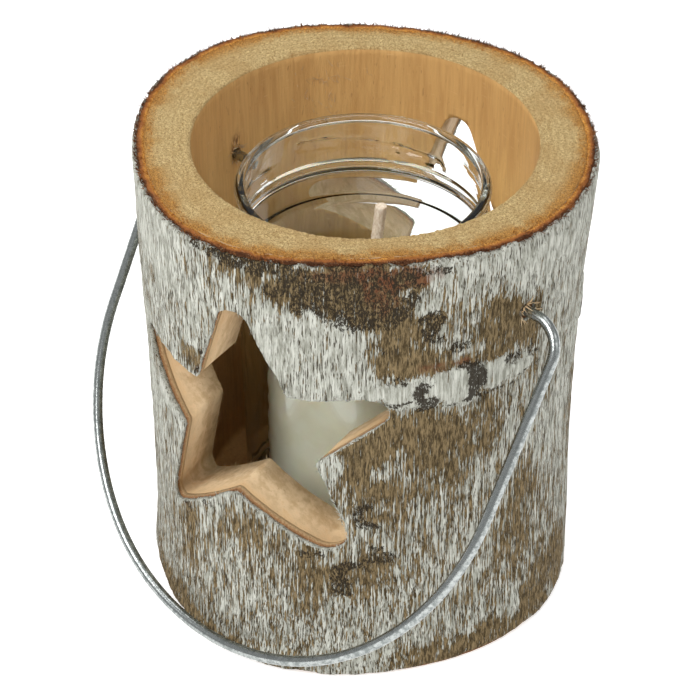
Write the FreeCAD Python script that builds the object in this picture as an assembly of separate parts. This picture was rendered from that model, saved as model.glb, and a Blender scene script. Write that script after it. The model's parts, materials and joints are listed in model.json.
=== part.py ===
import FreeCAD, Part

import math
import os

# Hanging lantern: a hollowed birch log with a star sawn through both walls, a wire bail,
# a screw-neck glass jar standing in the bore and a pillar candle standing in the jar.
# Millimetres, +Z up. The origin is the centre of the log's underside, and +X runs along
# the axis that the bail swings about. The star faces -Y.

Vector = FreeCAD.Vector
UP = Vector(0, 0, 1)

# Log: a grown trunk, so its outline is a circle with a few slow waves in it, each given as
# its order, height and phase. The waves change evenly from the foot to the top.
LOG_HEIGHT = 140.0
LOG_RADIUS = 62.1
TOP_WAVES = ((2, 1.25, 34.4), (3, 1.0, 41.0), (4, 1.2, 1.0), (5, 0.3, -7.0))
FOOT_WAVES = ((2, 1.7, -39.0), (3, 1.35, 20.0), (4, 0.55, 23.0), (5, 0.3, -7.0))
OUTLINE_POINTS = 48
# Up the side: height, change in radius and shift along X and Y. It flares at the foot.
SIDE_PROFILE = (
    (0.0, 1.5, 0.0, -1.2),
    (8.0, 0.8, 0.0, -0.8),
    (30.0, -0.1, -0.2, -0.5),
    (60.0, -0.65, -0.5, -0.6),
    (90.0, -0.55, -0.6, -0.7),
    (115.0, -0.1, -0.4, -0.55),
    (128.0, 0.25, -0.1, -0.3),
    (LOG_HEIGHT, 0.3, 0.0, -0.3),
)
OUTER_BARK = 1.2
INNER_BARK = 2.0
BARK_LIFT = 0.5

# Bore: a blind round pocket for the jar.
BORE_CENTRE = (0.9, 0.1)
BORE_RADIUS = 46.8
FLOOR = 14.0

# Star: sawn straight through the front and the back wall. Each corner is its place across
# the cut, its height, and the radius that it is rounded to.
STAR_DIRECTION = 99.9
STAR_TIP_ROUND = 5.0
STAR_WAIST_ROUND = 1.5
STAR_TIPS = (
    (1.4, 130.5, STAR_TIP_ROUND),
    (46.0, 97.1, STAR_TIP_ROUND),
    (33.7, 39.1, STAR_TIP_ROUND),
    (-27.4, 37.9, 2.2),
    (-45.0, 95.0, 4.0),
)
STAR_WAISTS = (
    (16.0, 97.1, STAR_WAIST_ROUND),
    (22.7, 75.6, STAR_WAIST_ROUND),
    (0.9, 60.3, STAR_WAIST_ROUND),
    (-17.3, 73.5, STAR_WAIST_ROUND),
    (-10.8, 94.0, STAR_WAIST_ROUND),
)

# Bail: one round wire, a half circle with two straight legs, its ends turned inwards
# through a hole in each wall. At rest it leans on the front of the log.
WIRE_RADIUS = 1.5
PIVOT_Y = -3.7
PIVOT_Z = 115.5
PIVOT_HOLE_RADIUS = 1.6
BARK_HOLE_RADIUS = 2.4
BAIL_CENTRE_X = 1.6
BAIL_RADIUS = 73.1
BAIL_LEG = 54.1
BAIL_END_BEND = 9.0
BAIL_TILT = 30.9
WIRE_ENDS = (-41.5, 43.3)

# Jar: a screw-neck jar with four thread lugs, standing on the floor of the bore.
JAR_CENTRE = (0.5, -0.2)
JAR_HEIGHT = 112.3
JAR_RADIUS = 38.5
JAR_WALL = 2.6
JAR_FLOOR = 4.0
JAR_HEEL = 5.0
RIM_RADIUS = 35.0
RIM_HEIGHT = 2.6
MOUTH_RADIUS = 31.8
NECK_RADIUS = 34.0
NECK_HEIGHT = 21.0
BEAD_RADIUS = 36.3
BEAD_DROP = 17.6
BEAD_HEIGHT = 2.4
SHOULDER_HEIGHT = 6.0
LUG_COUNT = 4
LUG_SPAN = 80.0
LUG_START = 169.0
LUG_TOP_DROP = 7.5
LUG_BOTTOM_DROP = 12.6
LUG_RADIUS = 1.1

# Candle: a pillar with a waxed wick crimped in a metal tab at its base.
CANDLE_CENTRE = (1.3, 1.3)
CANDLE_RADIUS = 28.5
CANDLE_TOP = 84.0
CANDLE_EDGE = 1.2
WICK_RADIUS = 1.75
WICK_TOP = (3.8, 3.6, 117.0)
WICK_BASE_GAP = 1.0
TAB_RADIUS = 10.0
TAB_THICKNESS = 0.6
COLLAR_RADIUS = 2.6
COLLAR_HEIGHT = 6.0

JAR_BASE = Vector(JAR_CENTRE[0], JAR_CENTRE[1], FLOOR)
CANDLE_BASE = Vector(CANDLE_CENTRE[0], CANDLE_CENTRE[1], FLOOR + JAR_FLOOR)


def rounded_path(corners, closed):
    """Edges through the given (point, radius) corners, each corner turned by a tangent arc."""
    count = len(corners)
    pieces = []
    for i in range(count):
        point, radius = corners[i]
        if radius == 0.0 or (not closed and i in (0, count - 1)):
            pieces.append((point, None, point))
            continue
        back = (corners[i - 1][0] - point).normalize()
        ahead = (corners[(i + 1) % count][0] - point).normalize()
        half = back.getAngle(ahead) / 2
        reach = radius / math.tan(half)
        middle = (back + ahead).normalize() * (radius / math.sin(half) - radius)
        pieces.append((point + back * reach, point + middle, point + ahead * reach))
    edges = []
    for i in range(count):
        start, middle, end = pieces[i]
        if middle is not None:
            edges.append(Part.Arc(start, middle, end).toShape())
        if closed or i < count - 1:
            following = pieces[(i + 1) % count][0]
            edges.append(Part.LineSegment(end, following).toShape())
    return Part.Wire(edges)


def save(name, shape):
    """Write one piece as its own STEP file."""
    solid = shape.removeSplitter()
    if not solid.isValid():
        raise ValueError(name + " is not a valid solid")
    solid.exportStep(os.path.join("parts", name + ".step"))
    print(name, len(solid.Solids), "solid(s),", round(solid.Volume / 1000.0, 2), "cm3")


def wave_sum(waves, angle):
    """Sum of an outline's waves at an angle in degrees."""
    total = 0.0
    for order, height, phase in waves:
        total += height * math.cos(math.radians(order * (angle - phase)))
    return total


def log_outline(z, change, shift_x, shift_y):
    """Closed smooth outline of the log at height z, with a change in radius and a shift."""
    share = z / LOG_HEIGHT
    points = []
    for i in range(OUTLINE_POINTS):
        angle = 360.0 * i / OUTLINE_POINTS
        waves = share * wave_sum(TOP_WAVES, angle) + (1 - share) * wave_sum(FOOT_WAVES, angle)
        reach = LOG_RADIUS + waves + change
        turn = math.radians(angle)
        x = reach * math.cos(turn) + shift_x
        y = reach * math.sin(turn) + shift_y
        points.append(Vector(x, y, z))
    curve = Part.BSplineCurve()
    curve.interpolate(points, PeriodicFlag=True)
    return Part.Wire([curve.toShape()])


def log_solid(depth):
    """The whole trunk, solid, down to a given depth under the bark's surface."""
    sections = [log_outline(z, change - depth, x, y) for z, change, x, y in SIDE_PROFILE]
    return Part.makeLoft(sections, True, False)


def star_prism():
    """The star's outline drawn out into a bar that runs through the whole log."""
    turn = math.radians(STAR_DIRECTION)
    along = Vector(math.cos(turn), math.sin(turn), 0)
    across = along.cross(UP)
    start = along * (-2 * LOG_RADIUS)
    corners = []
    for tip, waist in zip(STAR_TIPS, STAR_WAISTS):
        for u, z, radius in (tip, waist):
            corners.append((start + across * u + UP * z, radius))
    return Part.Face(rounded_path(corners, True)).extrude(along * (4 * LOG_RADIUS))


def pivot_bar(radius):
    """A long round bar on the bail's axis, which drills both walls at once."""
    start = Vector(-2 * LOG_RADIUS, PIVOT_Y, PIVOT_Z)
    return Part.makeCylinder(radius, 4 * LOG_RADIUS, start, Vector(1, 0, 0))


def build_log():
    """Wood, inner bark and outer bark: three layers that meet face to face."""
    whole = log_solid(0.0)
    under_outer = log_solid(OUTER_BARK)
    under_inner = log_solid(OUTER_BARK + INNER_BARK)
    foot = Part.makeBox(400, 400, BARK_LIFT, Vector(-200, -200, 0))
    bore = Part.makeCylinder(BORE_RADIUS, LOG_HEIGHT, Vector(BORE_CENTRE[0], BORE_CENTRE[1], FLOOR))
    star = star_prism()
    drill = pivot_bar(PIVOT_HOLE_RADIUS)
    torn = pivot_bar(BARK_HOLE_RADIUS)
    save("wood_body", under_inner.cut(bore).cut(star).cut(drill))
    save("inner_bark", under_outer.cut(under_inner).cut(foot).cut(star).cut(torn))
    save("outer_bark", whole.cut(under_outer).cut(foot).cut(star).cut(torn))


def bail_point(x, reach):
    """Place in the row frame of a point of the bail: x along the pivot, reach away from it."""
    tilt = math.radians(BAIL_TILT)
    return Vector(x, PIVOT_Y - reach * math.sin(tilt), PIVOT_Z - reach * math.cos(tilt))


def build_bail():
    left = BAIL_CENTRE_X - BAIL_RADIUS
    right = BAIL_CENTRE_X + BAIL_RADIUS
    near = BAIL_LEG
    left_end = [
        (bail_point(WIRE_ENDS[0], 0.0), 0.0),
        (bail_point(left, 0.0), BAIL_END_BEND),
        (bail_point(left, near), 0.0),
    ]
    right_end = [
        (bail_point(right, near), 0.0),
        (bail_point(right, 0.0), BAIL_END_BEND),
        (bail_point(WIRE_ENDS[1], 0.0), 0.0),
    ]
    loop = Part.Arc(
        bail_point(left, near),
        bail_point(BAIL_CENTRE_X, near + BAIL_RADIUS),
        bail_point(right, near),
    )
    first = rounded_path(left_end, False)
    last = rounded_path(right_end, False)
    path = Part.Wire(first.Edges + [loop.toShape()] + last.Edges)
    section = Part.makeCircle(WIRE_RADIUS, bail_point(WIRE_ENDS[0], 0.0), Vector(1, 0, 0))
    save("bail_wire", path.makePipeShell([Part.Wire([section])], True, True))


def jar_point(radius, drop):
    """A point of the jar's half section, given as a radius and a drop below the rim."""
    return Vector(radius, 0, JAR_HEIGHT - drop)


def jar_lug(start_angle):
    """One thread lug: a round bead that falls along the neck, sunk to half its thickness."""
    points = []
    for share in (0.0, 0.5, 1.0):
        angle = math.radians(start_angle - share * LUG_SPAN)
        drop = LUG_TOP_DROP + share * (LUG_BOTTOM_DROP - LUG_TOP_DROP)
        points.append(
            Vector(NECK_RADIUS * math.cos(angle), NECK_RADIUS * math.sin(angle), JAR_HEIGHT - drop)
        )
    arc = Part.Arc(points[0], points[1], points[2])
    path = Part.Wire([arc.toShape()])
    heading = arc.tangent(arc.FirstParameter)[0]
    section = Part.Wire([Part.makeCircle(LUG_RADIUS, points[0], heading)])
    lug = path.makePipeShell([section], True, True)
    for end in (points[0], points[2]):
        lug = lug.fuse(Part.makeSphere(LUG_RADIUS, end))
    return lug


def build_jar():
    inner = JAR_RADIUS - JAR_WALL
    bead_top = BEAD_DROP - BEAD_HEIGHT / 2
    bead_bottom = BEAD_DROP + BEAD_HEIGHT / 2
    shoulder = NECK_HEIGHT + SHOULDER_HEIGHT
    corners = [
        (Vector(0, 0, 0), 0.0),
        (jar_point(JAR_RADIUS, JAR_HEIGHT), JAR_HEEL),
        (jar_point(JAR_RADIUS, shoulder), 4.0),
        (jar_point(NECK_RADIUS, NECK_HEIGHT), 2.0),
        (jar_point(NECK_RADIUS, bead_bottom), 0.4),
        (jar_point(BEAD_RADIUS, bead_bottom), 1.0),
        (jar_point(BEAD_RADIUS, bead_top), 1.0),
        (jar_point(NECK_RADIUS, bead_top), 0.6),
        (jar_point(NECK_RADIUS, RIM_HEIGHT), 0.4),
        (jar_point(RIM_RADIUS, RIM_HEIGHT), 0.8),
        (jar_point(RIM_RADIUS, 0.0), 1.1),
        (jar_point(MOUTH_RADIUS, 0.0), 1.1),
        (jar_point(MOUTH_RADIUS, NECK_HEIGHT), 3.0),
        (jar_point(inner, shoulder + 2.0), 4.0),
        (jar_point(inner, JAR_HEIGHT - JAR_FLOOR), 3.0),
        (Vector(0, 0, JAR_FLOOR), 0.0),
    ]
    section = Part.Face(rounded_path(corners, True))
    jar = section.revolve(Vector(0, 0, 0), UP, 360)
    for i in range(LUG_COUNT):
        jar = jar.fuse(jar_lug(LUG_START + 360.0 * i / LUG_COUNT))
    jar.translate(JAR_BASE)
    save("glass_jar", jar)


def wick_solid():
    """The wick: straight up through the wax, then leaning over above it."""
    foot = CANDLE_BASE + UP * WICK_BASE_GAP
    bend = Vector(CANDLE_CENTRE[0], CANDLE_CENTRE[1], CANDLE_TOP)
    path = rounded_path([(foot, 0.0), (bend, 12.0), (Vector(*WICK_TOP), 0.0)], False)
    section = Part.Wire([Part.makeCircle(WICK_RADIUS, foot, UP)])
    return path.makePipeShell([section], True, True)


def tab_solid():
    """The metal tab under the candle: a thin disc and a collar round the wick."""
    disc = Part.makeCylinder(TAB_RADIUS, TAB_THICKNESS, CANDLE_BASE)
    return disc.fuse(Part.makeCylinder(COLLAR_RADIUS, COLLAR_HEIGHT, CANDLE_BASE))


def build_candle():
    wick = wick_solid()
    tab = tab_solid()
    wax = Part.makeCylinder(CANDLE_RADIUS, CANDLE_TOP - CANDLE_BASE.z, CANDLE_BASE)
    rims = [edge for edge in wax.Edges if edge.Curve.TypeId == "Part::GeomCircle"]
    wax = wax.makeFillet(CANDLE_EDGE, rims)
    save("candle_wax", wax.cut(tab).cut(wick))
    save("wick_sustainer", tab.cut(wick))
    save("candle_wick", wick)


os.makedirs("parts", exist_ok=True)
build_log()
build_bail()
build_jar()
build_candle()
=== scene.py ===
import json
import math

import bpy
import numpy as np
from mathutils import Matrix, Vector
from mathutils.bvhtree import BVHTree


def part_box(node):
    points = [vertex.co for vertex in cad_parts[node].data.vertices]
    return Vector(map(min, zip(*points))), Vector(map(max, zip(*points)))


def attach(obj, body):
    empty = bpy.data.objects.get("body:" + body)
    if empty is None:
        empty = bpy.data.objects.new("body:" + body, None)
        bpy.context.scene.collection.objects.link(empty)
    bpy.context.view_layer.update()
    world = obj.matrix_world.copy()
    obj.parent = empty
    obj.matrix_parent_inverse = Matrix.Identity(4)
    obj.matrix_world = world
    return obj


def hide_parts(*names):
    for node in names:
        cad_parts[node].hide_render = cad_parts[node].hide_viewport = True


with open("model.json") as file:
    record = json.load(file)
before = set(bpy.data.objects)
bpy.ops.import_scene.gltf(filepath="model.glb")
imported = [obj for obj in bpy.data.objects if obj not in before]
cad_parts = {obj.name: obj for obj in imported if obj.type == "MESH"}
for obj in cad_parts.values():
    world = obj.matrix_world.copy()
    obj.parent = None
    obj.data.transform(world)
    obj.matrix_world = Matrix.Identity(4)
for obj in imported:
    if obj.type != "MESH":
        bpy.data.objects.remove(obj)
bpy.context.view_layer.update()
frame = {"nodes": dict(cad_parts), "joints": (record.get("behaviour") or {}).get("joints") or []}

MM = 0.001

# The camera stands off the star's right-hand side and looks down on the log.
VIEW_AZIMUTH = 43.6
VIEW_ELEVATION = 37.83
VIEW_DISTANCE = 660.2 * MM
VIEW_ACROSS = -3.86 * MM
VIEW_HEIGHT = 67.9 * MM
LENS = 119.0

# Studio light: how bright the surroundings and the floor's own glow are, and the lamps, each
# with its turn from the camera in degrees, its elevation, distance, size and power.
WORLD_LIGHT = 0.42
FLOOR_GLOW = 0.6
FLOOR_REACH = 30.0
LAMPS = (
    ("key", -50, 50, 1.4, 0.8, 14),
    ("fill", 60, 35, 1.6, 1.2, 4.5),
    ("top", 180, 70, 1.4, 0.9, 5.5),
)
LAMP_AIM = 70 * MM

# Mesh resolution of the log: columns round it, rows up it.
COLUMNS = 720
BARK_ROWS = 112
SIDE_ROWS = 10
TOP_RINGS = 34
BORE_ROWS = 60

OUTER_BARK = 1.2 * MM
INNER_BARK = 2.0 * MM
STAR_DIRECTION = math.radians(99.9)
CUTTER_REACH = 90 * MM
LEG_BEND = 1.9 * MM
RIM_FIBRES = 8000
ANGLES = np.arange(COLUMNS) * 2 * math.pi / COLUMNS
TURN = ANGLES / (2 * math.pi)


# ------------ noise

def smooth(t):
    return t * t * (3 - 2 * t)


def ramp(value, low, high):
    """0 below low, 1 above high, and a smooth rise between."""
    return smooth(np.clip((value - low) / (high - low), 0, 1))


def lattice_noise(u, v, across, up, seed):
    """Value noise from 0 to 1. u runs once round (0 to 1, and repeats), v is any number."""
    table = np.random.default_rng(seed).random((across, 257))
    a = (u % 1.0) * across
    b = v * up
    i = np.floor(a).astype(int)
    j = np.floor(b).astype(int)
    s = smooth(a - i)
    t = smooth(b - j)
    i0, i1, j0, j1 = i % across, (i + 1) % across, j % 257, (j + 1) % 257
    low = table[i0, j0] * (1 - s) + table[i1, j0] * s
    high = table[i0, j1] * (1 - s) + table[i1, j1] * s
    return low * (1 - t) + high * t


def layered_noise(u, v, across, up, seed, layers=3):
    """Several octaves of lattice noise, from 0 to 1."""
    total = 0.0
    weight = 1.0
    whole = 0.0
    for k in range(layers):
        total = total + weight * lattice_noise(u, v, across * 2**k, up * 2**k, seed + 31 * k)
        whole += weight
        weight *= 0.5
    return total / whole


# ------------ measuring the frame

def tree_of(node):
    mesh = frame["nodes"][node].data
    points = [v.co.copy() for v in mesh.vertices]
    return BVHTree.FromPolygons(points, [tuple(p.vertices) for p in mesh.polygons])


LOG_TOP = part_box("wood_body")[1].z
BARK_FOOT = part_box("outer_bark")[0].z
WAVE_ORDERS = (2, 3, 4, 5)
EXPECTED_RADIUS = 62 * MM
LEVEL_MARGIN = 0.3 * MM


def measure_log():
    """The bark's surface, read from the frame: its mean radius and its shift at each height,
    and the waves of its outline at the foot and at the top."""
    tree = tree_of("outer_bark")
    heights = np.linspace(BARK_FOOT + LEVEL_MARGIN, LOG_TOP - LEVEL_MARGIN, 29)
    rows, reaches = [], []
    for level, z in enumerate(heights):
        for angle in np.radians(np.arange(0, 360, 2)):
            out = Vector((math.cos(angle), math.sin(angle), 0))
            hit = tree.ray_cast(out * 0.2 + Vector((0, 0, z)), -out)[0]
            if hit is None or abs(hit.xy.length - EXPECTED_RADIUS) > 5 * MM or hit.xy.dot(out.xy) < 0:
                continue
            row = np.zeros(3 * len(heights) + 4 * len(WAVE_ORDERS))
            row[3 * level : 3 * level + 3] = (1, math.cos(angle), math.sin(angle))
            for k, order in enumerate(WAVE_ORDERS):
                wave = np.array([math.cos(order * angle), math.sin(order * angle)])
                start = 3 * len(heights) + 4 * k
                row[start : start + 2] = wave * (z / LOG_TOP)
                row[start + 2 : start + 4] = wave * (1 - z / LOG_TOP)
            rows.append(row)
            reaches.append(hit.xy.length)
    terms = np.linalg.lstsq(np.array(rows), np.array(reaches), rcond=None)[0]
    levels = terms[: 3 * len(heights)].reshape(-1, 3)
    return heights, levels, terms[3 * len(heights) :].reshape(-1, 4)


LOG_HEIGHTS, LOG_LEVELS, LOG_WAVES = measure_log()


def log_radius(angle, z):
    """Radius of the bark's surface at an angle and a height."""
    mean, cosine, sine = (np.interp(z, LOG_HEIGHTS, LOG_LEVELS[:, k]) for k in range(3))
    reach = mean + cosine * np.cos(angle) + sine * np.sin(angle)
    share = z / LOG_TOP
    for order, (top_cos, top_sin, foot_cos, foot_sin) in zip(WAVE_ORDERS, LOG_WAVES):
        reach = reach + (share * top_cos + (1 - share) * foot_cos) * np.cos(order * angle)
        reach = reach + (share * top_sin + (1 - share) * foot_sin) * np.sin(order * angle)
    return reach


def measure_bore():
    """Centre, radius and floor of the bore in the wood."""
    tree = tree_of("wood_body")
    hits = []
    for angle in np.radians(np.arange(0, 360, 15)):
        out = Vector((math.cos(angle), math.sin(angle), 0))
        hits.append(tree.ray_cast(Vector((0, 0, LOG_TOP - 5 * MM)), out)[0].xy)
    points = np.array(hits)
    system = np.column_stack([2 * points, np.ones(len(points))])
    cx, cy, rest = np.linalg.lstsq(system, (points**2).sum(1), rcond=None)[0]
    floor = tree.ray_cast(Vector((cx, cy, LOG_TOP)), Vector((0, 0, -1)))[0].z
    return cx, cy, math.sqrt(rest + cx * cx + cy * cy), floor


BORE_X, BORE_Y, BORE_RADIUS, BORE_FLOOR = measure_bore()
LOG_RADIUS = float(LOG_LEVELS[:, 0].mean())
PIVOT = next(j for j in frame["joints"] if j["name"] == "bail_swing")["pos_m"]
ALONG = np.array([math.cos(STAR_DIRECTION), math.sin(STAR_DIRECTION), 0])
ACROSS = np.array([ALONG[1], -ALONG[0], 0])


def measure_star():
    """The star's outline, read from the sawn faces of the front wall, as points in order."""
    mesh = frame["nodes"]["wood_body"].data
    points = np.array([v.co for v in mesh.vertices])
    found = set()
    for face in mesh.polygons:
        if abs(float(np.dot(face.normal, ALONG))) > 0.02:
            continue
        corners = points[list(face.vertices)]
        middle = corners.mean(0)
        angle = math.atan2(middle[1], middle[0])
        depth = log_radius(angle, middle[2]) - math.hypot(middle[0], middle[1])
        in_star = 0.03 < middle[2] < 0.13 and abs(middle @ ACROSS) < 0.045
        if middle @ ALONG < -0.03 and in_star and depth > OUTER_BARK + INNER_BARK + 0.2 * MM:
            for corner in corners:
                found.add((round(float(corner @ ACROSS), 5), round(float(corner[2]), 5)))
    outline = np.array(sorted(found))
    middle = outline.mean(0)
    turn = np.arctan2(outline[:, 1] - middle[1], outline[:, 0] - middle[0])
    return outline[np.argsort(turn)]


STAR = measure_star()


def even_outline(points, step):
    """The same closed outline with its points an even step apart."""
    closed = np.vstack([points, points[:1]])
    lengths = np.hypot(*np.diff(closed, axis=0).T)
    along = np.concatenate([[0], np.cumsum(lengths)])
    count = int(along[-1] / step)
    at = np.arange(count) * along[-1] / count
    return np.column_stack([np.interp(at, along, closed[:, k]) for k in range(2)])


# ------------ mesh helpers

def new_object(name, verts, faces, material_of_face=None, materials=(), shade=True):
    mesh = bpy.data.meshes.new(name)
    mesh.from_pydata([tuple(v) for v in verts], [], [tuple(f) for f in faces])
    for material in materials:
        mesh.materials.append(material)
    if material_of_face is not None:
        mesh.polygons.foreach_set("material_index", np.asarray(material_of_face, np.int32))
    mesh.polygons.foreach_set("use_smooth", np.full(len(mesh.polygons), shade))
    mesh.validate()
    mesh.update()
    thing = bpy.data.objects.new(name, mesh)
    bpy.context.scene.collection.objects.link(thing)
    return thing


def loft(name, sections, regions=None, materials=(), closed=False):
    """A closed skin over rings of points, each ring an (n, 3) array. An open loft is capped at
    both ends by a point in the middle of its end ring. regions gives each band's material."""
    count = len(sections[0])
    verts = np.vstack(sections)
    across = np.arange(count)
    following = (across + 1) % count
    faces, slots = [], []
    bands = len(sections) if closed else len(sections) - 1
    for j in range(bands):
        low, high = j * count, ((j + 1) % len(sections)) * count
        faces.append(np.column_stack([low + across, low + following, high + following, high + across]))
        slots += [regions[j] if regions else 0] * count
    faces = [tuple(f) for f in np.vstack(faces).tolist()]
    if not closed:
        last = (len(sections) - 1) * count
        verts = np.vstack([verts, sections[0].mean(0), sections[-1].mean(0)])
        foot, head = len(verts) - 2, len(verts) - 1
        faces += [(foot, int(b), int(a)) for a, b in zip(across, following)]
        faces += [(head, last + int(a), last + int(b)) for a, b in zip(across, following)]
        slots += [regions[0] if regions else 0] * count + [regions[-1] if regions else 0] * count
    return new_object(name, verts, faces, slots, materials)


def ring(radius, z, centre=(0.0, 0.0), angles=ANGLES):
    """A ring of points at the given angles; radius and z may differ from point to point."""
    x = centre[0] + radius * np.cos(angles)
    y = centre[1] + radius * np.sin(angles)
    return np.column_stack([x, y, np.broadcast_to(z, x.shape)])


def cut(thing, cutter):
    """Cuts one closed mesh out of another and throws the cutter away."""
    modifier = thing.modifiers.new("cut", "BOOLEAN")
    modifier.operation = "DIFFERENCE"
    modifier.solver = "MANIFOLD"
    modifier.object = cutter
    bpy.context.view_layer.update()
    done = bpy.data.meshes.new_from_object(thing.evaluated_get(bpy.context.evaluated_depsgraph_get()))
    if not len(done.polygons) or len(done.polygons) == len(thing.data.polygons):
        raise RuntimeError("cutting " + thing.name + " changed nothing")
    thing.modifiers.clear()
    thing.data = done
    bpy.data.objects.remove(cutter)


def star_cutter(ragged, step, seed, slot=0, materials=()):
    """A bar of the star's section, long enough to run through the log, its edge roughened."""
    outline = even_outline(STAR, step)
    count = len(outline)
    heading = np.roll(outline, -1, 0) - np.roll(outline, 1, 0)
    outward = np.column_stack([heading[:, 1], -heading[:, 0]])
    outward /= np.hypot(*outward.T)[:, None]
    u = np.arange(count) / count
    rough = layered_noise(u, u * 0, max(8, int(count / 12)), 1, seed, 4)
    outline = outline + outward * (ragged * (rough - 0.4))[:, None]
    sections = []
    for reach in (CUTTER_REACH, -CUTTER_REACH):
        sections.append(np.outer(outline[:, 0], ACROSS) + np.outer(outline[:, 1], (0, 0, 1)) + ALONG * reach)
    return loft("star_cutter", sections, [slot], materials)


def needles(name, roots, directions, lengths, widths, material):
    """Many small tapering splinters in one mesh: a three-sided spike for each root."""
    verts, faces = [], []
    for root, direction, length, width in zip(roots, directions, lengths, widths):
        direction = direction / np.linalg.norm(direction)
        side = np.cross(direction, (0.31, 0.52, 0.79))
        side /= np.linalg.norm(side)
        other = np.cross(direction, side)
        start = len(verts)
        for k in range(3):
            turn = 2 * math.pi * k / 3
            verts.append(root + width * (math.cos(turn) * side + math.sin(turn) * other))
        verts.append(root + direction * length)
        faces += [(start, start + 1, start + 3), (start + 1, start + 2, start + 3)]
        faces += [(start + 2, start, start + 3), (start + 2, start + 1, start)]
    return new_object(name, verts, faces, materials=[material], shade=False)


def round_drill(radius, ragged, seed):
    """A bar along the bail's axis, for the two wire holes."""
    count = 40
    turn = np.arange(count) / count
    reach = radius + ragged * (layered_noise(turn, turn * 0, 13, 1, seed, 2) - 0.3)
    sections = []
    for x in (-CUTTER_REACH, CUTTER_REACH):
        y = PIVOT[1] + reach * np.cos(2 * math.pi * turn)
        z = PIVOT[2] + reach * np.sin(2 * math.pi * turn)
        sections.append(np.column_stack([np.full(count, x), y, z]))
    return loft("drill", sections)


def mark(thing, name, values):
    """Writes one number for each point, for a material to read."""
    attribute = thing.data.attributes.new(name, "FLOAT", "POINT")
    attribute.data.foreach_set("value", values.astype(np.float32))


# ------------ shader helpers

class Shader:
    """A short way to write a node tree: every method adds one node and returns its output."""

    def __init__(self, name, **settings):
        self.material = bpy.data.materials.new(name)
        self.material.use_nodes = True
        self.tree = self.material.node_tree
        self.surface = self.tree.nodes["Principled BSDF"]
        for socket, value in settings.items():
            self.surface.inputs[socket.replace("_", " ")].default_value = value
        texture = self.tree.nodes.new("ShaderNodeTexCoord")
        self.place = self.stretch(texture.outputs["Object"], (1 / MM, 1 / MM, 1 / MM))

    def put(self, socket, value):
        if isinstance(value, bpy.types.NodeSocket):
            self.tree.links.new(value, socket)
        else:
            socket.default_value = value

    def stretch(self, vector, scale, shift=(0, 0, 0)):
        node = self.tree.nodes.new("ShaderNodeMapping")
        self.put(node.inputs["Vector"], vector)
        node.inputs["Scale"].default_value = scale
        node.inputs["Location"].default_value = shift
        return node.outputs["Vector"]

    def noise(self, size, grain=(1, 1, 1), detail=2.0, roughness=0.55, shift=(0, 0, 0), distortion=0.0):
        """Noise whose blobs are about size millimetres across, drawn out by 1 / grain."""
        node = self.tree.nodes.new("ShaderNodeTexNoise")
        scaled = self.stretch(self.place, tuple(g / size for g in grain), shift)
        self.put(node.inputs["Vector"], scaled)
        node.inputs["Scale"].default_value = 1.0
        node.inputs["Detail"].default_value = detail
        node.inputs["Roughness"].default_value = roughness
        node.inputs["Distortion"].default_value = distortion
        return node.outputs["Fac"]

    def math(self, operation, a, b=0.0):
        node = self.tree.nodes.new("ShaderNodeMath")
        node.operation = operation
        self.put(node.inputs[0], a)
        self.put(node.inputs[1], b)
        return node.outputs[0]

    def plus(self, a, b):
        return self.math("ADD", a, b)

    def minus(self, a, b):
        return self.math("SUBTRACT", a, b)

    def times(self, a, b):
        return self.math("MULTIPLY", a, b)

    def between(self, value, low, high, out_low=0.0, out_high=1.0):
        node = self.tree.nodes.new("ShaderNodeMapRange")
        node.interpolation_type = "SMOOTHSTEP"
        sockets = ("Value", "From Min", "From Max", "To Min", "To Max")
        for key, item in zip(sockets, (value, low, high, out_low, out_high)):
            self.put(node.inputs[key], item)
        return node.outputs["Result"]

    def mix(self, share, a, b):
        node = self.tree.nodes.new("ShaderNodeMix")
        node.data_type = "RGBA"
        self.put(node.inputs[0], share)
        for socket, value in ((node.inputs[6], a), (node.inputs[7], b)):
            self.put(socket, (*value, 1.0) if isinstance(value, tuple) else value)
        return node.outputs[2]

    def height(self):
        """Height over the floor in millimetres."""
        node = self.tree.nodes.new("ShaderNodeSeparateXYZ")
        self.put(node.inputs[0], self.place)
        return node.outputs["Z"]

    def attribute(self, name):
        node = self.tree.nodes.new("ShaderNodeAttribute")
        node.attribute_name = name
        return node.outputs["Fac"]

    def bump(self, height, depth, strength=1.0, under=None):
        node = self.tree.nodes.new("ShaderNodeBump")
        node.inputs["Strength"].default_value = strength
        node.inputs["Distance"].default_value = depth * MM
        self.put(node.inputs["Height"], height)
        if under is not None:
            self.put(node.inputs["Normal"], under)
        return node.outputs["Normal"]

    def finish(self, colour=None, roughness=None, normal=None):
        for socket, value in (("Base Color", colour), ("Roughness", roughness), ("Normal", normal)):
            if value is not None:
                self.put(self.surface.inputs[socket], value)
        return self.material


# ------------ materials

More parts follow.
